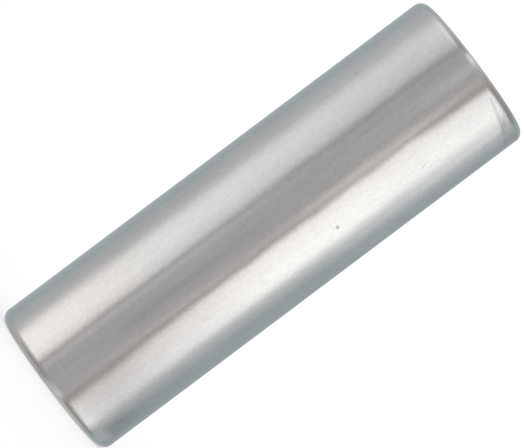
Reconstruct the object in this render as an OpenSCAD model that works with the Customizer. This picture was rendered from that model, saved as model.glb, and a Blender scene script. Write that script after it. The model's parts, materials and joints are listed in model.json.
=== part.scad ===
// Gudgeon pin: the hollow, hardened steel pin that joins a piston to its connecting rod.
// It is turned, drilled and ground from one bar, and stands here on one end, axis up.

/* [Pin] */
// Outside diameter, ground to fit the piston bosses and the small-end bush
pin_d = 20; // [18:0.5:40]
// Length over the two end faces
pin_length = 62; // [25:0.5:150]
// Radius that rounds the outer edge at each end
edge_radius = 1.2; // [0.2:0.1:2.5]

/* [Bore] */
// Diameter of the bore that runs right through
bore_d = 12; // [4:0.5:15]
// Depth of the chamfer at each mouth of the bore
mouth_depth = 0.8; // [0.2:0.1:2]
// Slope of the mouth chamfer, in degrees from the axis
mouth_angle = 45; // [15:5:60]

/* [Hidden] */
$fn = 96;
pin_r = pin_d / 2;
bore_r = bore_d / 2;
// How far the bore's cutter reaches past each end face
cutter_overrun = 1;
// Radius of a cutter that flares out at the mouth chamfer's slope, at a height above or below the end face
function flare_r(height) = bore_r + (mouth_depth + height) * tan(mouth_angle);

// Half section of the bar: radius along X, height along Y
module bar_section() {
    square([pin_r - edge_radius, pin_length]);
    translate([0, edge_radius])
        square([pin_r, pin_length - 2 * edge_radius]);
    for (y = [edge_radius, pin_length - edge_radius])
        translate([pin_r - edge_radius, y])
            circle(r = edge_radius);
}

// Half section of what drilling and countersinking take out
module bore_section() {
    polygon([
        [0, -cutter_overrun],
        [flare_r(cutter_overrun), -cutter_overrun],
        [bore_r, mouth_depth],
        [bore_r, pin_length - mouth_depth],
        [flare_r(cutter_overrun), pin_length + cutter_overrun],
        [0, pin_length + cutter_overrun]
    ]);
}

module gudgeon_pin() {
    color([0.63, 0.62, 0.61])
        difference() {
            rotate_extrude() bar_section();
            rotate_extrude() bore_section();
        }
}

gudgeon_pin();
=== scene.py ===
import json
import math

import bpy
from mathutils import Matrix, Vector


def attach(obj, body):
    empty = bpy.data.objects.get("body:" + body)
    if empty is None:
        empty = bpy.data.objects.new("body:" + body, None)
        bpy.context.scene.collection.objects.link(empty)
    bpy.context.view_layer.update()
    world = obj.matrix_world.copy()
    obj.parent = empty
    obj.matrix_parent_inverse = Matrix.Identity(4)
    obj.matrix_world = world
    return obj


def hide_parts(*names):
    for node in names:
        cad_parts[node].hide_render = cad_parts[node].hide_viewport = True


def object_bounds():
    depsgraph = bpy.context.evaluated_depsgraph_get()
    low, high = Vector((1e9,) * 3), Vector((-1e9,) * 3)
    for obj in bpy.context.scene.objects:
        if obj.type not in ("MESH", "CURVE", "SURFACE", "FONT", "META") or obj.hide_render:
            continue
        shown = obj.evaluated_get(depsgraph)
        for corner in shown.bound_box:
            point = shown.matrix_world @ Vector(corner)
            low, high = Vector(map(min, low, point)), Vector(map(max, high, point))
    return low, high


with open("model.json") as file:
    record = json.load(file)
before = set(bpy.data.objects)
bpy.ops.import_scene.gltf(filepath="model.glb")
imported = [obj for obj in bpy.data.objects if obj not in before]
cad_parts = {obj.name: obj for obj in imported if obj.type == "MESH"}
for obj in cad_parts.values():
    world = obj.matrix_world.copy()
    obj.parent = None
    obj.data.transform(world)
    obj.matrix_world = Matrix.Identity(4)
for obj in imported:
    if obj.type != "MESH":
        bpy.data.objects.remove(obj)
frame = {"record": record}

bl_info = {
    "name": "Gudgeon Pin",
    "version": (1, 0, 0),
    "blender": (4, 5, 0),
    "location": "3D View > Sidebar > Gudgeon Pin",
    "description": "Turns, marks and finishes a ground steel gudgeon pin, and lights it in a light tent",
    "category": "Object",
}

CAD_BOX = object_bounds()
CAD_LENGTH = CAD_BOX[1].z - CAD_BOX[0].z
MOUNTS = {mount["name"]: mount for mount in frame["record"]["mounts"]}
PIN_NODE = "gudgeon_pin"
STEEL_SLOT = "polished_steel"
MM = 0.001
TINY = 1e-6

# The pin's mesh: rows up the outside, steps round each rounded edge and the angle up to which it is smooth
CLOSE_ROW = 0.09 * MM
WIDE_ROW = 2.0 * MM
LOWER_EDGE_STEPS = 12
UPPER_EDGE_STEPS = 24
SMOOTH_ANGLE = math.radians(30)

# The pin's map: its name, and what the outside and the bore take of its width
UNROLLED = "OFBake"
OUTSIDE_SHARE = 0.70
BORE_FROM = 0.71

# Marks of use on the ground outside, at angles round from the front in degrees and at heights.
# Pits: angle, height, width, depth
PITS = (
    (32.6, 37.75 * MM, 0.62 * MM, 0.017 * MM),
    (-49.6, 50.2 * MM, 0.60 * MM, 0.012 * MM),
    (44.5, 61.37 * MM, 0.50 * MM, 0.020 * MM),
)
# Scratches, by width and depth: start and end of each, as angle and height
SCRATCHES = {
    (0.42 * MM, 0.008 * MM): (
        ((24.0, 60.72 * MM), (58.0, 59.57 * MM)),
    ),
    (0.16 * MM, 0.012 * MM): (
        ((34.1, 50.23 * MM), (35.5, 49.75 * MM)),
        ((26.8, 37.22 * MM), (32.2, 37.24 * MM)),
        ((-48.0, 33.85 * MM), (-47.3, 34.45 * MM)),
        ((39.4, 61.10 * MM), (44.2, 60.64 * MM)),
    ),
    (0.14 * MM, 0.007 * MM): (
        ((46.0, 60.55 * MM), (50.5, 59.98 * MM)),
        ((35.5, 49.75 * MM), (36.4, 49.41 * MM)),
        ((13.0, 17.95 * MM), (14.8, 18.35 * MM)),
        ((14.6, 18.45 * MM), (16.4, 18.85 * MM)),
    ),
}
STROKE_STEPS = 40
# Shares of a mark's width, out from its middle, that go in to its full depth
PIT_FLOOR = 1 / 6
SCRATCH_FLOOR = 1 / 3

# Finishes of the steel, with depths and distances in millimetres
END_FACING, EDGE_FACING = (0.80, 0.98), (0.05, 0.40)  # how squarely a face looks up or down the axis
REAMED_FROM, REAMED_WHOLLY = 0.02, 0.1  # out from a mouth's rim and out from the bore
SUNK_FROM, SUNK_WHOLLY = 0.003, 0.020  # in from the ground outside
TURNED_TONE = (0.54, 0.53, 0.52)
REAMED_TONE = (0.55, 0.54, 0.53)
SUNK_TONE = (0.30, 0.29, 0.28)
SUNK_ROUGHNESS = 0.5
SCUFF_ROUGHNESS = 0.10
WAVE_DEPTH = 0.045
LINE_DEPTH = 0.0010
STREAK_DEPTH = 0.0012
TURNED_DEPTH = 0.007
REAMED_DEPTH = 0.004
TURNED_RINGS = 6.0  # to a millimetre
NOISE_LOW, NOISE_HIGH = 0.3, 0.7  # between these lies most of a noise

# The scuffed patch at the upper edge, by angles in degrees and by millimetres
SCUFF_START, SCUFF_END = (24.0, 60.74), (78.0, 58.92)  # the two ends of its lower border, angle and height
SCUFF_BORDER = (-0.02, 0.05)  # heights past that border over which it fades in
SCUFF_FADE_IN, SCUFF_FADE_OUT = (24.0, 34.0), (80.0, 66.0)  # angles
SCUFF_TOP = (61.7, 61.3)  # heights over which it fades out
SCUFF_RIM = (0.6, 0.3)  # distances in from the ground outside over which it fades in
SCRAPE_SLANT = (0.8, 0.6)  # cosine and sine of the slant at which its scrapes run

# Colours and greys of the light tent
LEFT_BACK_GAIN = 1.17
RIM_GAIN = 0.82
LEFT_FAR, LEFT_NEAR = (0.44, 0.463, 0.463), (0.415, 0.415, 0.41)
LEFT_SIDE = (0.525, 0.55, 0.56)
RIGHT_SIDE = (0.445, 0.51, 0.523)
BEHIND = 0.85
SLOT = 0.46
UPPER_PANEL = 0.57
UPPER_TIP = 0.65
CARD = (0.65, 0.643, 0.635)
STRIP = (0.79, 0.765, 0.745)
SOFTBOX = (1.0, 1.0, 0.99)
SHELF = (1.0, 0.97, 1.0)
WARM = (1.03, 1.0, 0.985)
CHILL = (0.99, 1.0, 1.02)
COOL = (0.47, 0.54, 0.55)
COOL_FOOT = (0.57, 0.61, 0.60)
LOW_BACK = (0.345, 0.395, 0.407)
CORNER = (0.53, 0.59, 0.595)

# Edges of the two softboxes: strength by the share of the edge's width
LEFT_INNER = (
    (0, 0), (0.13, 0.07), (0.25, 0.37), (0.34, 0.58), (0.44, 0.72),
    (0.55, 0.81), (0.66, 0.87), (0.8, 0.92), (1, 1),
)
LEFT_OUTER = (
    (0, 1), (0.12, 0.93), (0.25, 0.74), (0.38, 0.43), (0.53, 0.27), (0.7, 0.16), (0.9, 0.06), (1, 0),
)
RIGHT_INNER = (
    (0, 0), (0.08, 0.12), (0.15, 0.42), (0.23, 0.70), (0.32, 0.82), (0.45, 0.875), (0.62, 0.92), (1, 1),
)
RIGHT_OUTER = (
    (0, 1), (0.15, 0.86), (0.33, 0.48), (0.5, 0.27), (0.7, 0.13), (0.91, 0.04), (1, 0),
)

# Shades over and under the pin: a grey or colour by the angle seen, in degrees. The shades under it are a
# painted contact shadow on the ground sheet round the pin's foot, lighter near the front, that the rounded
# lower edge mirrors
TOP_SHADES = (
    (-124, COOL), (-100, 0.60), (-72, 0.62), (-50, 0.47), (-34, 0.40), (-24, 0.46), (-18, 1.06),
    (-5, 1.04), (1, 0.75), (10, 0.57), (27, 0.50), (36, 0.43), (100, 0.40), (120, COOL),
)
FOOT_PAINTED_SHADOW = (
    (-124, COOL), (-106, COOL_FOOT), (-92, 0.58), (-64, 0.47), (-48, 0.42), (-13, 0.42), (-6, 0.56),
    (3, 0.63), (11, 0.76), (19, 0.80), (26, 0.60), (34, 0.40), (102, 0.39), (120, COOL),
)

# The stage: the tent's mesh, its ground sheet, the paper of the floor and the camera's place
TENT_SEGMENTS, TENT_RINGS = 96, 48
SHEET_HEIGHT = 0.05 * MM
SHEET_INNER = 0.92  # where the sheet ends under the pin, as a share of the pin's radius
FLOOR_SIZE = 12
PAPER = 0.93
PAPER_GLOW = 0.55  # share of the paper that glows
WHITE = 1.0
CAMERA_RIGHT, CAMERA_UP = -0.07 * MM, 0.13 * MM  # off the pin's middle, across the picture and up it
CLIP_START = 0.01


class PinSizes(bpy.types.PropertyGroup):
    """Sizes of the pin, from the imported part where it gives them"""

    outside_r: bpy.props.FloatProperty(
        name="Outside Radius",
        description="Radius of the ground outside",
        default=MOUNTS["journal"]["dims"]["r_mm"] * MM,
        subtype="DISTANCE",
        unit="LENGTH",
        precision=5,
    )
    length: bpy.props.FloatProperty(
        name="Length",
        description="Length over the two end faces",
        default=CAD_LENGTH,
        subtype="DISTANCE",
        unit="LENGTH",
        precision=5,
    )
    edge_r: bpy.props.FloatProperty(
        name="Edge Radius",
        description="Radius that rounds the outer edge at each end",
        default=(CAD_LENGTH - MOUNTS["journal"]["dims"]["length_mm"] * MM) / 2,
        subtype="DISTANCE",
        unit="LENGTH",
        precision=5,
    )
    bore_r: bpy.props.FloatProperty(
        name="Bore Radius",
        description="Radius of the bore that runs right through",
        default=MOUNTS["bore"]["dims"]["r_mm"] * MM,
        subtype="DISTANCE",
        unit="LENGTH",
        precision=5,
    )
    mouth: bpy.props.FloatProperty(
        name="Mouth Chamfer",
        description="Depth and width of the chamfer at each mouth of the bore",
        default=(CAD_LENGTH - MOUNTS["bore"]["dims"]["length_mm"] * MM) / 2,
        subtype="DISTANCE",
        unit="LENGTH",
        precision=5,
    )
    steps: bpy.props.IntProperty(
        name="Steps Around",
        description="Faces around the pin",
        default=640,
        min=96,
    )


class PinFinish(bpy.types.PropertyGroup):
    """Colour and polish of the steel"""

    colour: bpy.props.FloatVectorProperty(
        name="Steel Colour",
        description="Colour of the ground outside",
        default=(0.63, 0.62, 0.61),
        subtype="COLOR",
        min=0.0,
        max=1.0,
    )
    roughness: bpy.props.FloatProperty(
        name="Roughness",
        description="Roughness of the ground outside",
        default=0.15,
        subtype="FACTOR",
        min=0.0,
        max=1.0,
    )


class StageSettings(bpy.types.PropertyGroup):
    """Camera, light tent and white surroundings"""

    distance: bpy.props.FloatProperty(
        name="Camera Distance",
        description="From the camera to the pin's axis",
        default=0.396,
        subtype="DISTANCE",
        unit="LENGTH",
    )
    lens: bpy.props.FloatProperty(
        name="Lens",
        description="Focal length of the camera",
        default=231.0,
        unit="CAMERA",
    )
    lean: bpy.props.FloatProperty(
        name="Lean",
        description="Angle of the pin's axis above the picture's lower edge",
        default=math.radians(36.878),
        subtype="ANGLE",
        unit="ROTATION",
    )
    tent_r: bpy.props.FloatProperty(
        name="Tent Radius",
        description="Radius of the light tent around the pin",
        default=0.045,
        subtype="DISTANCE",
        unit="LENGTH",
    )
    tent_wall: bpy.props.FloatProperty(
        name="Tent Wall",
        description="Height of the tent's upright wall, under its dome",
        default=0.100,
        subtype="DISTANCE",
        unit="LENGTH",
    )
    front_grey: bpy.props.FloatVectorProperty(
        name="Front Panel",
        description="Light from the grey panel around the camera",
        default=(0.53, 0.53, 0.53),
        subtype="COLOR",
    )
    back_grey: bpy.props.FloatVectorProperty(
        name="Back Panel",
        description="Light from the cool grey panels behind the pin",
        default=(0.40, 0.458, 0.471),
        subtype="COLOR",
    )
    white: bpy.props.FloatProperty(
        name="White Level",
        description="Strength of the white surroundings",
        default=1.08,
        min=0.0,
    )


# Working on meshes


def deselect_all():
    """Leave nothing selected in the scene."""
    bpy.ops.object.select_all(action="DESELECT")


def pick(obj, kind, test):
    """Select, in edit mode, the vertices, edges or faces of obj whose middle passes the test."""
    bpy.ops.object.mode_set(mode="OBJECT")
    mesh = obj.data
    for items in (mesh.vertices, mesh.edges, mesh.polygons):
        items.foreach_set("select", [False] * len(items))
    bpy.context.tool_settings.mesh_select_mode = (kind == "VERT", kind == "EDGE", kind == "FACE")
    if kind == "VERT":
        for vertex in mesh.vertices:
            vertex.select = test(vertex.co)
    elif kind == "EDGE":
        for edge in mesh.edges:
            ends = [mesh.vertices[i].co for i in edge.vertices]
            edge.select = test((ends[0] + ends[1]) / 2)
    else:
        for face in mesh.polygons:
            face.select = test(face.center)
    bpy.ops.object.mode_set(mode="EDIT")


# The pin


def draw_section(sizes):
    """Draw the outline of the half section beside the axis, with its corners rounded and chamfered."""
    deselect_all()
    middle = (sizes.bore_r + sizes.outside_r) / 2
    bpy.ops.mesh.primitive_plane_add(
        size=1,
        location=(middle, 0, sizes.length / 2),
        rotation=(math.pi / 2, 0, 0),
    )
    pin = bpy.context.object
    pin.name = "ground_pin"
    pin.data.name = "ground_pin"
    pin.scale = (sizes.outside_r - sizes.bore_r, sizes.length, 1)
    bpy.ops.object.transform_apply(location=True, rotation=True, scale=True)
    for end, steps in ((0, LOWER_EDGE_STEPS), (sizes.length, UPPER_EDGE_STEPS)):
        pick(pin, "VERT", lambda co: co.x > middle and abs(co.z - end) < TINY)
        bpy.ops.mesh.bevel(offset=sizes.edge_r, segments=steps, profile=0.5, affect="VERTICES")
    pick(pin, "VERT", lambda co: co.x < sizes.bore_r + TINY)
    bpy.ops.mesh.bevel(offset=sizes.mouth, segments=1, affect="VERTICES")
    bpy.ops.mesh.select_all(action="SELECT")
    bpy.ops.mesh.delete(type="ONLY_FACE")
    bpy.ops.object.mode_set(mode="OBJECT")
    return pin


def close_bands(sizes):
    """Heights between which the marks need close rows, in order and merged where they meet."""
    lowest, highest = sizes.edge_r, sizes.length - sizes.edge_r
    spans = [(lowest, lowest + CLOSE_ROW), (highest - CLOSE_ROW, highest)]
    for _, height, width, _ in PITS:
        spans.append((height - width, height + width))
    for (width, _), strokes in SCRATCHES.items():
        for (_, start), (_, end) in strokes:
            spans.append((min(start, end) - width, max(start, end) + width))
    kept = [(max(low, lowest), min(high, highest)) for low, high in spans if low < highest]
    bands = []
    for low, high in sorted(kept):
        if bands and low < bands[-1][1] + CLOSE_ROW:
            bands[-1][1] = max(high, bands[-1][1])
        else:
            bands.append([low, high])
    return bands


def cut_rows(pin, sizes):
    """Cut the outside of the section into rows, close ones where it gets marks and wide ones between."""

    def outside(co):
        return co.x > sizes.outside_r - TINY

    def cut(low, high, row):
        pick(pin, "EDGE", lambda co: outside(co) and low < co.z < high)
        bpy.ops.mesh.subdivide(number_cuts=max(1, round((high - low) / row) - 1))

    bands = close_bands(sizes)
    for height in {end for band in bands for end in band}:
        if sizes.edge_r + TINY < height < sizes.length - sizes.edge_r - TINY:
            pick(pin, "EDGE", outside)
            bpy.ops.mesh.bisect(plane_co=(0, 0, height), plane_no=(0, 0, 1))
    for low, high in bands:
        cut(low, high, CLOSE_ROW)
    for below, above in zip(bands, bands[1:]):
        cut(below[1], above[0], WIDE_ROW)
    bpy.ops.object.mode_set(mode="OBJECT")


def turn(pin, sizes):
    """Turn the section about the pin's axis into a closed shell."""
    pick(pin, "EDGE", lambda co: True)
    bpy.ops.mesh.spin(
        steps=sizes.steps,
        angle=2 * math.pi,
        center=(0, 0, 0),
        axis=(0, 0, 1),
        use_auto_merge=True,
    )
    bpy.ops.mesh.select_all(action="SELECT")
    bpy.ops.mesh.remove_doubles(threshold=TINY)
    bpy.ops.mesh.normals_make_consistent(inside=False)
    bpy.ops.object.mode_set(mode="OBJECT")
    bpy.ops.object.shade_smooth_by_angle(angle=SMOOTH_ANGLE)


def on_outside(sizes, degrees, height):
    """Point on the ground outside or its rounded edge, at an angle round from the front and a height."""
    angle = math.radians(degrees)
    past = max(0, abs(height - sizes.length / 2) - (sizes.length / 2 - sizes.edge_r))
    radius = sizes.outside_r - sizes.edge_r + math.sqrt(sizes.edge_r**2 - past**2)
    return Vector((radius * math.sin(angle), -radius * math.cos(angle), height))


def along_stroke(sizes, start, end):
    """Points on the outside along a stroke, from its start to its end."""
    points = []
    for step in range(STROKE_STEPS + 1):
        share = step / STROKE_STEPS
        degrees, height = (a + share * (b - a) for a, b in zip(start, end))
        points.append(on_outside(sizes, degrees, height))
    return points


def near(points, reach):
    """Test that a place passes if it is within reach of one of the points."""
    lowest = min(point.z for point in points) - reach
    highest = max(point.z for point in points) + reach
    return lambda co: lowest < co.z < highest and min((co - point).length for point in points) < reach


def press(width, depth):
    """Press the picked vertices in along their normals, with a soft edge of half the mark's width."""
    bpy.ops.transform.shrink_fatten(
        value=-depth,
        use_proportional_edit=True,
        proportional_edit_falloff="SMOOTH",
        proportional_size=width / 2,
    )


def press_marks(pin, sizes):
    """Press the pits and scratches of use into the ground outside."""
    for degrees, height, width, depth in PITS:
        pick(pin, "VERT", near([on_outside(sizes, degrees, height)], PIT_FLOOR * width))
        press(width, depth)
    for (width, depth), strokes in SCRATCHES.items():
        tests = [near(along_stroke(sizes, *stroke), SCRATCH_FLOOR * width) for stroke in strokes]
        pick(pin, "VERT", lambda co: any(test(co) for test in tests))
        press(width, depth)
    bpy.ops.object.mode_set(mode="OBJECT")


def along_section(sizes, radius, height):
    """Distance along the half section from the middle of the outside, up to the end of a mouth's chamfer."""
    half = sizes.length / 2 - sizes.edge_r
    side = math.copysign(1, height - sizes.length / 2)
    above = abs(height - sizes.length / 2) - half
    if above <= 0:
        return height - sizes.length / 2
    flat_from, flat_to = sizes.outside_r - sizes.edge_r, sizes.bore_r + sizes.mouth
    if radius >= flat_from:
        return side * (half + sizes.edge_r * math.asin(min(1, above / sizes.edge_r)))
    down_chamfer = max(0, flat_to - radius) * math.sqrt(2)
    return side * (half + sizes.edge_r * math.pi / 2 + flat_from - max(radius, flat_to) + down_chamfer)


def unroll(pin, sizes):
    """Lay the faces out flat, opened at the back: outside and ends as one strip, and the bore beside it."""
    mesh = pin.data
    angles = [math.atan2(vertex.co.x, -vertex.co.y) for vertex in mesh.vertices]
    radii = [vertex.co.xy.length for vertex in mesh.vertices]
    longest = along_section(sizes, sizes.bore_r, sizes.length - sizes.mouth)
    places = [0.0] * (2 * len(mesh.loops))
    for face in mesh.polygons:
        middle = math.atan2(face.center.x, -face.center.y)
        in_bore = face.center.xy.length < sizes.bore_r + TINY
        for loop in face.loop_indices:
            corner = mesh.loops[loop].vertex_index
            height = mesh.vertices[corner].co.z
            angle = middle + math.remainder(angles[corner] - middle, 2 * math.pi)
            around = angle / (2 * math.pi) + 0.5
            if in_bore:
                across = BORE_FROM + (1 - BORE_FROM) * around
                up = (height - sizes.mouth) / (sizes.length - 2 * sizes.mouth)
            else:
                across = OUTSIDE_SHARE * around
                up = (along_section(sizes, radii[corner], height) / longest + 1) / 2
            places[2 * loop:2 * loop + 2] = across, up
    layer = mesh.uv_layers.active
    layer.name = UNROLLED
    layer.uv.foreach_set("vector", places)


class PIN_OT_make_pin(bpy.types.Operator):
    """Turn the pin from its half section, press its marks in and give it its steel"""

    bl_idname = "gudgeon.make_pin"
    bl_label = "Make Pin"
    bl_options = {"REGISTER", "UNDO"}

    def execute(self, context):
        sizes = context.scene.pin_sizes
        pin = draw_section(sizes)
        cut_rows(pin, sizes)
        turn(pin, sizes)
        press_marks(pin, sizes)
        unroll(pin, sizes)
        pin.data.materials.append(steel(context.scene.pin_finish, sizes))
        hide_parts(PIN_NODE)
        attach(pin, "root")
        return {"FINISHED"}


# Materials


def full_colour(value):
    """Colour with its alpha, from a grey or from red, green and blue."""
    return (*value, 1) if isinstance(value, tuple) else (value, value, value, 1)


class Tree:
    """A node tree that is written from its first node to its last, in columns from left to right"""

    rows, column_width, row_height = 5, 220, 260

    def __init__(self, owner):
        owner.use_nodes = True
        self.tree = owner.node_tree
        self.tree.nodes.clear()

    def add(self, kind, inputs=None, **settings):
        """Add a node with its settings, and set or link its inputs."""
        node = self.tree.nodes.new(kind)
        column, row = divmod(len(self.tree.nodes), self.rows)
        node.location = (column * self.column_width, -row * self.row_height)
        for name, value in settings.items():
            setattr(node, name, value)
        for name, value in (inputs or {}).items():
            socket = node.inputs[name]
            if isinstance(value, bpy.types.NodeSocket):
                self.tree.links.new(value, socket)
            else:
                socket.default_value = full_colour(value) if socket.type == "RGBA" else value
        return node

    def math(self, operation, a, b=0.0):
        """One sum on two values."""
        return self.add("ShaderNodeMath", {0: a, 1: b}, operation=operation).outputs[0]

    def total(self, first, *others):
        """All the values added up."""
        for value in others:
            first = self.math("ADD", first, value)
        return first

    def product(self, first, *others):
        """All the values multiplied."""
        for value in others:
            first = self.math("MULTIPLY", first, value)
        return first

    def vector(self, operation, a, b):
        """One sum on two vectors or colours."""
        return self.add("ShaderNodeVectorMath", {0: a, 1: b}, operation=operation).outputs[0]

    def scale(self, a, by):
        """A vector or colour times a value."""
        return self.add("ShaderNodeVectorMath", {0: a, "Scale": by}, operation="SCALE").outputs[0]

    def parts(self, vector):
        """X, Y and Z of a vector."""
        return self.add("ShaderNodeSeparateXYZ", {0: vector}).outputs

    def join(self, x, y, z=0.0):
        """Vector from X, Y and Z."""
        return self.add("ShaderNodeCombineXYZ", {"X": x, "Y": y, "Z": z}).outputs[0]

    def length(self, x, y, z=0.0):
        """Length of the vector from X, Y and Z."""
        return self.add("ShaderNodeVectorMath", {0: self.join(x, y, z)}, operation="LENGTH").outputs["Value"]

    def span(self, value, low, high, to_low=0.0, to_high=1.0, smooth=False):
        """Map a value from one range to another, clamped."""
        kind = "SMOOTHSTEP" if smooth else "LINEAR"
        inputs = {"Value": value, "From Min": low, "From Max": high, "To Min": to_low, "To Max": to_high}
        return self.add("ShaderNodeMapRange", inputs, interpolation_type=kind).outputs[0]

    def blend(self, factor, a, b):
        """Blend two values by a factor."""
        return self.add("ShaderNodeMix", {"Factor": factor, 2: a, 3: b}, data_type="FLOAT").outputs[0]

    def blend_colour(self, factor, a, b):
        """Blend two colours by a factor."""
        return self.add("ShaderNodeMix", {"Factor": factor, 6: a, 7: b}, data_type="RGBA").outputs[2]

    def ramp(self, factor, stops):
        """Colour by a factor, from stops of (position, grey or colour)."""
        node = self.add("ShaderNodeValToRGB", {"Fac": factor})
        elements = node.color_ramp.elements
        elements.remove(elements[1])
        for index, (position, value) in enumerate(stops):
            element = elements.new(position) if index else elements[0]
            element.position = position
            element.color = full_colour(value)
        return node.outputs["Color"]

    def noise(self, place, cells, detail):
        """Noise over a place in millimetres, with so many cells a millimetre along each axis."""
        inputs = {"Vector": self.vector("MULTIPLY", place, cells), "Scale": 1.0, "Detail": detail}
        return self.add("ShaderNodeTexNoise", inputs).outputs["Fac"]

    def vary(self, noise, low, high):
        """Value that a noise takes from low to high."""
        return self.span(noise, NOISE_LOW, NOISE_HIGH, low, high)


def steel(finish, sizes):
    """Ground and polished steel on the outside, turned on the end faces and reamed in the bore."""
    material = bpy.data.materials.new(STEEL_SLOT)
    tree = Tree(material)
    outside_r, edge_r, half = sizes.outside_r / MM, sizes.edge_r / MM, sizes.length / MM / 2
    bore_r, mouth_r = sizes.bore_r / MM, (sizes.bore_r + sizes.mouth) / MM
    metres = tree.add("ShaderNodeTexCoord").outputs["Object"]
    place = tree.scale(metres, 1 / MM)
    x, y, z = tree.parts(place)
    radius = tree.length(x, y)
    angle = tree.math("DEGREES", tree.math("ARCTAN2", x, tree.product(y, -1.0)))
    normal = tree.add("ShaderNodeNewGeometry").outputs["Normal"]
    facing = tree.math("ABSOLUTE", tree.parts(normal)["Z"])
    from_middle = tree.math("ABSOLUTE", tree.math("SUBTRACT", z, half))

    # Where each finish is
    on_end = tree.span(facing, *END_FACING, smooth=True)
    on_edge = tree.span(facing, *EDGE_FACING)
    in_bore = tree.span(radius, mouth_r + REAMED_FROM, bore_r + REAMED_WHOLLY)
    past = tree.math("MAXIMUM", tree.math("SUBTRACT", from_middle, half - edge_r), 0.0)
    reach = tree.length(tree.math("SUBTRACT", radius, outside_r - edge_r), past)
    sunk = tree.span(reach, edge_r - SUNK_FROM, edge_r - SUNK_WHOLLY)
    scuff_border = tree.span(angle, SCUFF_START[0], SCUFF_END[0], SCUFF_START[1], SCUFF_END[1])
    past_border = tree.math("SUBTRACT", z, scuff_border)
    scuff = tree.product(
        tree.span(past_border, *SCUFF_BORDER),
        tree.span(z, *SCUFF_TOP),
        tree.span(radius, *(outside_r - rim for rim in SCUFF_RIM)),
        tree.span(angle, *SCUFF_FADE_IN),
        tree.span(angle, *SCUFF_FADE_OUT),
    )

    # Grain of the finishes
    smudges = tree.noise(place, cells=(0.24, 0.24, 0.17), detail=4.0)
    mottle = tree.noise(place, cells=(2.2, 2.2, 1.8), detail=3.0)
    streaks = tree.noise(place, cells=(3.2, 3.2, 0.09), detail=3.0)
    waves = tree.noise(place, cells=(0.30, 0.30, 0.24), detail=1.0)
    lines = tree.noise(place, cells=(0.05, 0.05, 7.0), detail=2.0)
    turning = {"W": tree.product(radius, TURNED_RINGS), "Scale": 1.0, "Detail": 3.0}
    rings = tree.add("ShaderNodeTexNoise", turning, noise_dimensions="1D").outputs["Fac"]
    around = tree.product(angle, math.radians(1) * outside_r)
    cosine, sine = SCRAPE_SLANT
    across = tree.total(tree.product(around, sine), tree.product(z, cosine))
    along = tree.math("SUBTRACT", tree.product(around, cosine), tree.product(z, sine))
    scrapes = tree.noise(tree.join(across, along), cells=(4.2, 0.9, 1.0), detail=2.0)

    # Colour: the scuff is darkest at its border and round its middle, and broken up by scrapes
    scuff_shade = tree.product(
        scuff,
        tree.span(past_border, 0.6, 0.05, 1.0, 1.3),
        tree.span(scrapes, 0.35, 0.65, 1.35, 0.65),
        tree.total(tree.span(angle, 35.0, 48.0, -0.04, -0.27), tree.span(angle, 50.0, 60.0, 0.0, 0.14)),
    )
    ground_shade = tree.total(
        tree.vary(smudges, -0.018, 0.018),
        tree.vary(mottle, -0.036, 0.036),
        tree.vary(streaks, -0.016, 0.016),
        scuff_shade,
        1.0,
    )
    turned_shade = tree.total(tree.vary(rings, -0.09, 0.09), tree.vary(mottle, -0.03, 0.03), 1.0)
    reamed_shade = tree.total(tree.vary(lines, -0.10, 0.10), tree.vary(smudges, -0.05, 0.05), 1.0)
    colour = tree.scale(tuple(finish.colour), ground_shade)
    colour = tree.blend_colour(sunk, colour, SUNK_TONE)
    colour = tree.blend_colour(on_end, colour, tree.scale(TURNED_TONE, turned_shade))
    colour = tree.blend_colour(in_bore, colour, tree.scale(REAMED_TONE, reamed_shade))

    # Polish
    roughness = tree.total(
        tree.vary(smudges, -0.02, 0.02),
        tree.vary(streaks, -0.015, 0.015),
        finish.roughness,
        tree.product(scuff, SCUFF_ROUGHNESS),
        tree.product(on_edge, tree.span(mottle, 0.4, 0.7, 0.0, 0.10)),
    )
    roughness = tree.blend(sunk, roughness, SUNK_ROUGHNESS)
    roughness = tree.blend(on_end, roughness, tree.vary(rings, 0.22, 0.32))
    roughness = tree.blend(in_bore, roughness, tree.vary(lines, 0.36, 0.48))

    # Relief
    height = tree.total(
        tree.product(waves, WAVE_DEPTH),
        tree.product(lines, LINE_DEPTH),
        tree.product(streaks, STREAK_DEPTH),
    )
    height = tree.blend(on_end, height, tree.product(rings, TURNED_DEPTH))
    height = tree.blend(in_bore, height, tree.product(lines, REAMED_DEPTH))
    bump = tree.add("ShaderNodeBump", {"Strength": 1.0, "Distance": MM, "Height": height}).outputs[0]
    shader = tree.add(
        "ShaderNodeBsdfPrincipled",
        {"Base Color": colour, "Metallic": 1.0, "Roughness": roughness, "Normal": bump},
    ).outputs["BSDF"]
    tree.add("ShaderNodeOutputMaterial", {"Surface": shader})
    return material


# The stage


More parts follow.
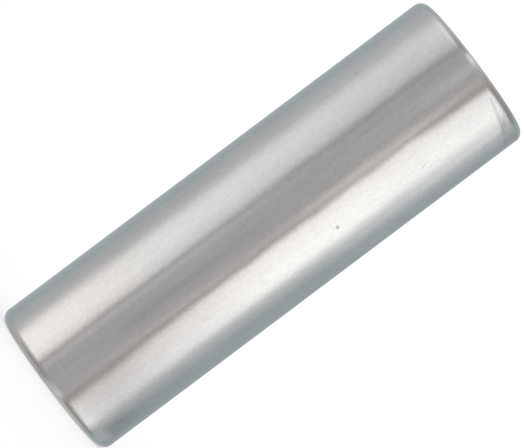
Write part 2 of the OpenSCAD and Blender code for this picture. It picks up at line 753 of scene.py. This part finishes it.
class TentTree(Tree):
    """The tent's node tree, in which light is laid out by the angle at which the pin shows it to the camera

    The angle seen is twice the angle of the spot on the pin that shows the light, so that bands of light run
    straight up the pin and over its rounded ends.
    """

    def __init__(self, owner, sizes):
        super().__init__(owner)
        x, y, self.height = self.parts(self.add("ShaderNodeTexCoord").outputs["Object"])
        over = self.math("MAXIMUM", self.math("SUBTRACT", self.height, sizes.length), 0.0)
        reach = self.length(x, y, over)
        self.radius = self.length(x, y)
        # The turn from the front is twice the half turn, and the pin shows it the wider the nearer it is
        self.half_turn = self.math("ARCTAN2", x, self.math("SUBTRACT", reach, y))
        nearness = self.math("DIVIDE", sizes.outside_r, reach)
        closer = self.math("SUBTRACT", 2.0, nearness)
        self.seen = self.math("DEGREES", self.math("DIVIDE", self.product(self.half_turn, 4.0), closer))
        self.share = self.span(self.seen, -180.0, 180.0)
        # The lift is the tilt, up from level, of the spot on the rounded upper edge that shows the light
        forward = self.math("SUBTRACT", 1.0, self.math("DIVIDE", y, reach))
        level = self.math("SQRT", self.product(forward, 0.5))
        level = self.math("MINIMUM", self.math("DIVIDE", level, self.math("COSINE", self.half_turn)), 1.0)
        self.lift = self.math("DEGREES", self.math("ARCCOSINE", level))

    def around(self, *stops):
        """Strength or colour by the angle seen, from stops of (degrees, strength or colour)."""
        return self.ramp(self.share, [((degrees + 180) / 360, value) for degrees, value in stops])

    def band(self, start, full_from, full_to, end):
        """Strength by the angle seen: whole between two angles, fading to nothing at start and end."""
        return self.around((start, 0), (full_from, 1), (full_to, 1), (end, 0))

    def up(self, low, high, at_low, at_high):
        """Value by the height above the floor, in millimetres."""
        return self.span(self.height, low * MM, high * MM, at_low, at_high)

    def inward(self, start, full):
        """Strength by the distance from the axis in millimetres: nothing at start and whole at full."""
        return self.span(self.radius, start * MM, full * MM)

    def edge(self, side, start, width, stops):
        """Strength across a softbox's edge on one side, from an angle seen on, over a width in degrees."""
        beyond = self.math("SUBTRACT", self.product(self.seen, side), start)
        return self.ramp(self.math("DIVIDE", beyond, width), stops)

    def lay(self, light, colour, *strengths):
        """Lay a colour over the light, by the product of its strengths."""
        return self.blend_colour(self.product(*strengths), light, colour)


def light_walls(tree, front, back, left_back):
    """Light of the tent's walls: a grey front around the camera, a cool grey back and panels on them."""
    rim = tuple(RIM_GAIN * c for c in front)
    light = tree.around(
        (-126, left_back), (-112, LEFT_FAR), (-101, LEFT_NEAR), (-31, rim),
        (-26, front), (20, front), (26, rim), (112, back),
    )
    half_turn = tree.math("ABSOLUTE", tree.math("DEGREES", tree.half_turn))
    strip_power = tree.total(tree.up(-4, 16, 0.1, 0.45), tree.up(33, 41, 0, 0.60))
    for colour, *strengths in (
        (LEFT_SIDE, tree.band(-140, -124, -104, -92), tree.up(15, 50, 0, 1)),
        (BEHIND, tree.span(half_turn, 75.0, 83.0, smooth=True)),
        (SLOT, tree.band(-8, -3, 3, 8), tree.up(6, 12, 0, 1), tree.up(22, 32, 1, 0)),
        (UPPER_PANEL, tree.band(-16, -11, 3, 8), tree.up(40, 50, 0, 1)),
        (UPPER_TIP, tree.band(-10, -6, 2, 6), tree.up(56, 61, 0, 1)),
        (RIGHT_SIDE, tree.band(90, 110, 135, 160), tree.up(5, 14, 0, 1), tree.up(40, 56, 1, 0)),
        (CARD, tree.band(-31, -27, -24, -17), tree.up(20, 50, 1, 0)),
        (STRIP, tree.band(12.5, 20, 24, 28), strip_power, tree.up(53, 61, 1, 0.35)),
    ):
        light = tree.lay(light, colour, *strengths)
    return light


def light_softboxes(tree, light):
    """Add the softbox at each side, soft at its edges and with its power by the height."""
    left_power = tree.total(tree.up(0, 13, 1.29, 1.17), tree.up(13, 58, 0, -0.23), tree.up(64, 84, 0, 0.15))
    light = tree.lay(
        light,
        tree.scale(SOFTBOX, left_power),
        tree.edge(-1, tree.up(4, 14, 28, 27), tree.up(4, 58, 25, 43), LEFT_INNER),
        tree.edge(-1, tree.up(10, 50, 72.6, 75.5), 60.0, LEFT_OUTER),
    )
    right_power = tree.total(
        tree.up(0, 29, 0.88, 1.48), tree.up(42, 50, 0, -0.07), tree.up(0.3, 2.5, 0.17, 0.04)
    )
    right_start = tree.total(tree.up(4, 20, 29.0, 26.2), tree.up(41, 48, 0, -1.5), tree.up(52, 59, 0, 5.2))
    right_width = tree.total(tree.up(4, 16, 55, 35), tree.up(52, 60, 0, 9))
    return tree.lay(
        light,
        tree.scale(SOFTBOX, right_power),
        tree.edge(1, right_start, right_width, RIGHT_INNER),
        tree.edge(1, 74.4, tree.up(30, 60, 44, 62), RIGHT_OUTER),
    )


def tint_light(tree, light):
    """Add the shelf of light past the right softbox, and warm and chill parts of the light."""
    shelf = tree.product(
        tree.around((84, 0), (92, 0.06), (98, 0.13), (105, 0.20), (113, 0.08), (135, 0.06), (150, 0)),
        tree.up(33, 58, 0, 1.3),
    )
    light = tree.vector("ADD", light, tree.scale(SHELF, shelf))
    warm = tree.total(
        tree.band(20, 26, 34, 44),
        tree.product(tree.band(34, 44, 46, 56), tree.up(20, 32, 1, 0)),
        tree.product(tree.band(-95, -80, -36, -26), tree.up(5, 18, 1, 0)),
    )
    chill = tree.product(tree.around((-150, 1), (-12, 1), (-4, 0)), tree.up(40, 52, 0, 1))
    for strength, tint in ((warm, WARM), (chill, CHILL)):
        light = tree.vector("MULTIPLY", light, tree.blend_colour(strength, WHITE, tint))
    return light


def light_top(tree, light):
    """Add the shades that the rounded upper edge shows, and the even light overhead."""
    start = tree.span(tree.seen, -65.0, 35.0, 20.0, 7.0)
    past_start = tree.math("SUBTRACT", tree.lift, start)
    light = tree.lay(light, tree.around(*TOP_SHADES), tree.span(past_start, 0.0, 18.0, smooth=True))
    overhead = tree.scale((1.0, 1.0, 1.0), tree.up(84, 106, 0.52, 0.76))
    return tree.lay(light, overhead, tree.span(tree.lift, 46.0, 63.0, smooth=True))


def light_sheet(tree, light, left_back):
    """Add the glow of the ground sheet, and the shades on it that the rounded lower edge shows: a painted
    contact shadow round the pin's foot, and the lighter greys right under it.
    """
    on_sheet = tree.up(2, 1, 0, 1)
    near_pin = tree.product(tree.inward(33, 26), on_sheet)
    glow = tree.around(
        (30, 0), (40, 0.08), (55, 0.12), (67, 0.09), (78, 0.22), (90, 0.23), (97, 0.13), (106, 0)
    )
    light = tree.scale(light, tree.total(tree.product(near_pin, glow), 1.0))
    light = tree.lay(light, LOW_BACK, tree.band(99, 114, 135, 150), tree.up(1, 5, 1, 0))
    light = tree.lay(light, CORNER, tree.band(88, 104, 130, 150), near_pin)
    # Painted contact shadow: a dark ring of greys on the ground sheet round the pin's foot, mirrored in the
    # rounded lower edge
    painted_shadow_edge = tree.span(tree.seen, 45.0, 95.0, 13.3 * MM, 11.1 * MM)
    in_painted_shadow = tree.span(tree.radius, painted_shadow_edge, 10.1 * MM)
    light = tree.lay(light, tree.around(*FOOT_PAINTED_SHADOW), in_painted_shadow, on_sheet)
    under_shades = tree.around(
        (-112, left_back), (-80, 0.62), (-40, 0.62), (-20, 0.55), (5, 0.72), (80, 0.70), (112, COOL)
    )
    return tree.lay(light, under_shades, tree.inward(9.9, 9.6), on_sheet)


def tent_light(stage, sizes):
    """Light of the tent, from its walls and softboxes to its top and its ground sheet."""
    material = bpy.data.materials.new("tent_light")
    tree = TentTree(material, sizes)
    front, back = tuple(stage.front_grey), tuple(stage.back_grey)
    left_back = tuple(LEFT_BACK_GAIN * c for c in back)
    light = light_walls(tree, front, back, left_back)
    light = light_softboxes(tree, light)
    light = tint_light(tree, light)
    light = light_top(tree, light)
    light = light_sheet(tree, light, left_back)
    glow = tree.add("ShaderNodeEmission", {"Color": light, "Strength": 1.0}).outputs["Emission"]
    tree.add("ShaderNodeOutputMaterial", {"Surface": glow})
    return material


def pale_floor():
    """White paper with a light shadow: part of it glows to the camera and in what mirrors it."""
    material = bpy.data.materials.new("pale_floor")
    tree = Tree(material)
    rays = tree.add("ShaderNodeLightPath").outputs
    direct = tree.total(rays["Is Camera Ray"], rays["Is Glossy Ray"], rays["Is Transmission Ray"])
    paper = tree.add("ShaderNodeBsdfDiffuse", {"Color": PAPER}).outputs["BSDF"]
    white = tree.add("ShaderNodeEmission", {"Color": WHITE, "Strength": 1.0}).outputs["Emission"]
    glowing = {0: tree.product(direct, PAPER_GLOW), 1: paper, 2: white}
    shader = tree.add("ShaderNodeMixShader", glowing).outputs[0]
    tree.add("ShaderNodeOutputMaterial", {"Surface": shader})
    return material


def lay_floor():
    """Lay the pale floor that the pin stands on."""
    deselect_all()
    bpy.ops.mesh.primitive_plane_add(size=FLOOR_SIZE, location=(0, 0, 0))
    floor = bpy.context.object
    floor.name = "floor"
    floor.data.materials.append(pale_floor())


def pitch_tent(stage, sizes):
    """Set a round tent of light with a ground sheet over the pin, seen in the steel and not by the camera."""
    deselect_all()
    bpy.ops.mesh.primitive_uv_sphere_add(
        segments=TENT_SEGMENTS,
        ring_count=TENT_RINGS,
        radius=stage.tent_r,
        location=(0, 0, stage.tent_wall),
    )
    tent = bpy.context.object
    tent.name = "light_tent"
    bpy.ops.object.transform_apply(location=True)
    pick(tent, "VERT", lambda co: co.z < stage.tent_wall - TINY)
    bpy.ops.mesh.delete(type="VERT")
    pick(tent, "EDGE", lambda co: co.z < stage.tent_wall + TINY)
    bpy.ops.mesh.extrude_region_move(TRANSFORM_OT_translate={"value": (0, 0, SHEET_HEIGHT - stage.tent_wall)})
    inner = SHEET_INNER * sizes.outside_r / stage.tent_r
    bpy.ops.mesh.extrude_region_move(TRANSFORM_OT_translate={"value": (0, 0, 0)})
    bpy.ops.transform.resize(value=(inner, inner, 1), center_override=(0, 0, SHEET_HEIGHT))
    bpy.ops.object.mode_set(mode="OBJECT")
    tent.data.materials.append(tent_light(stage, sizes))
    tent.visible_camera = False
    tent.visible_diffuse = False
    tent.visible_shadow = False


def light_world(stage):
    """Surround the scene with even white."""
    world = bpy.data.worlds.new("white_room")
    bpy.context.scene.world = world
    tree = Tree(world)
    sky = tree.add("ShaderNodeBackground", {"Color": WHITE, "Strength": stage.white}).outputs["Background"]
    tree.add("ShaderNodeOutputWorld", {"Surface": sky})


def aim_camera(stage, length):
    """Set the camera square to the pin's axis, rolled so that the pin leans in the picture."""
    deselect_all()
    bpy.ops.object.camera_add()
    camera = bpy.context.object
    camera.name = "camera"
    along, across = math.cos(stage.lean), math.sin(stage.lean)
    right = Vector((across, 0, along))
    up = Vector((-along, 0, across))
    back = Vector((0, -1, 0))
    place = Vector((0, -stage.distance, length / 2)) + CAMERA_RIGHT * right + CAMERA_UP * up
    camera.matrix_world = Matrix.Translation(place) @ Matrix((right, up, back)).transposed().to_4x4()
    camera.data.lens = stage.lens
    camera.data.clip_start = CLIP_START
    bpy.context.scene.camera = camera


class PIN_OT_set_stage(bpy.types.Operator):
    """Lay the floor, pitch the light tent, light the surroundings and aim the camera"""

    bl_idname = "gudgeon.set_stage"
    bl_label = "Set Stage"
    bl_options = {"REGISTER", "UNDO"}

    def execute(self, context):
        stage, sizes = context.scene.pin_stage, context.scene.pin_sizes
        lay_floor()
        pitch_tent(stage, sizes)
        light_world(stage)
        aim_camera(stage, sizes.length)
        context.scene.view_settings.view_transform = "Standard"
        return {"FINISHED"}


class PIN_PT_panel(bpy.types.Panel):
    """Lists the steps that make the pin, and their settings"""

    bl_label = "Gudgeon Pin"
    bl_idname = "PIN_PT_panel"
    bl_space_type = "VIEW_3D"
    bl_region_type = "UI"
    bl_category = "Gudgeon Pin"

    def draw(self, context):
        for operator in OPERATORS:
            self.layout.operator(operator.bl_idname)
        for group in GROUPS:
            box = self.layout.box()
            settings = getattr(context.scene, group)
            for name in settings.bl_rna.properties.keys():
                if name not in {"rna_type", "name"}:
                    box.prop(settings, name)


GROUPS = {"pin_sizes": PinSizes, "pin_finish": PinFinish, "pin_stage": StageSettings}
OPERATORS = (PIN_OT_make_pin, PIN_OT_set_stage)


def register():
    """Register the settings, the operators and the panel."""
    for name, group in GROUPS.items():
        bpy.utils.register_class(group)
        setattr(bpy.types.Scene, name, bpy.props.PointerProperty(type=group))
    for cls in (*OPERATORS, PIN_PT_panel):
        bpy.utils.register_class(cls)


def unregister():
    """Take them out again, in the opposite order."""
    for cls in (PIN_PT_panel, *reversed(OPERATORS)):
        bpy.utils.unregister_class(cls)
    for name, group in reversed(GROUPS.items()):
        delattr(bpy.types.Scene, name)
        bpy.utils.unregister_class(group)


def main():
    """Make everything in order."""
    register()
    bpy.ops.gudgeon.make_pin()
    bpy.ops.gudgeon.set_stage()


if __name__ == "__main__":
    main()
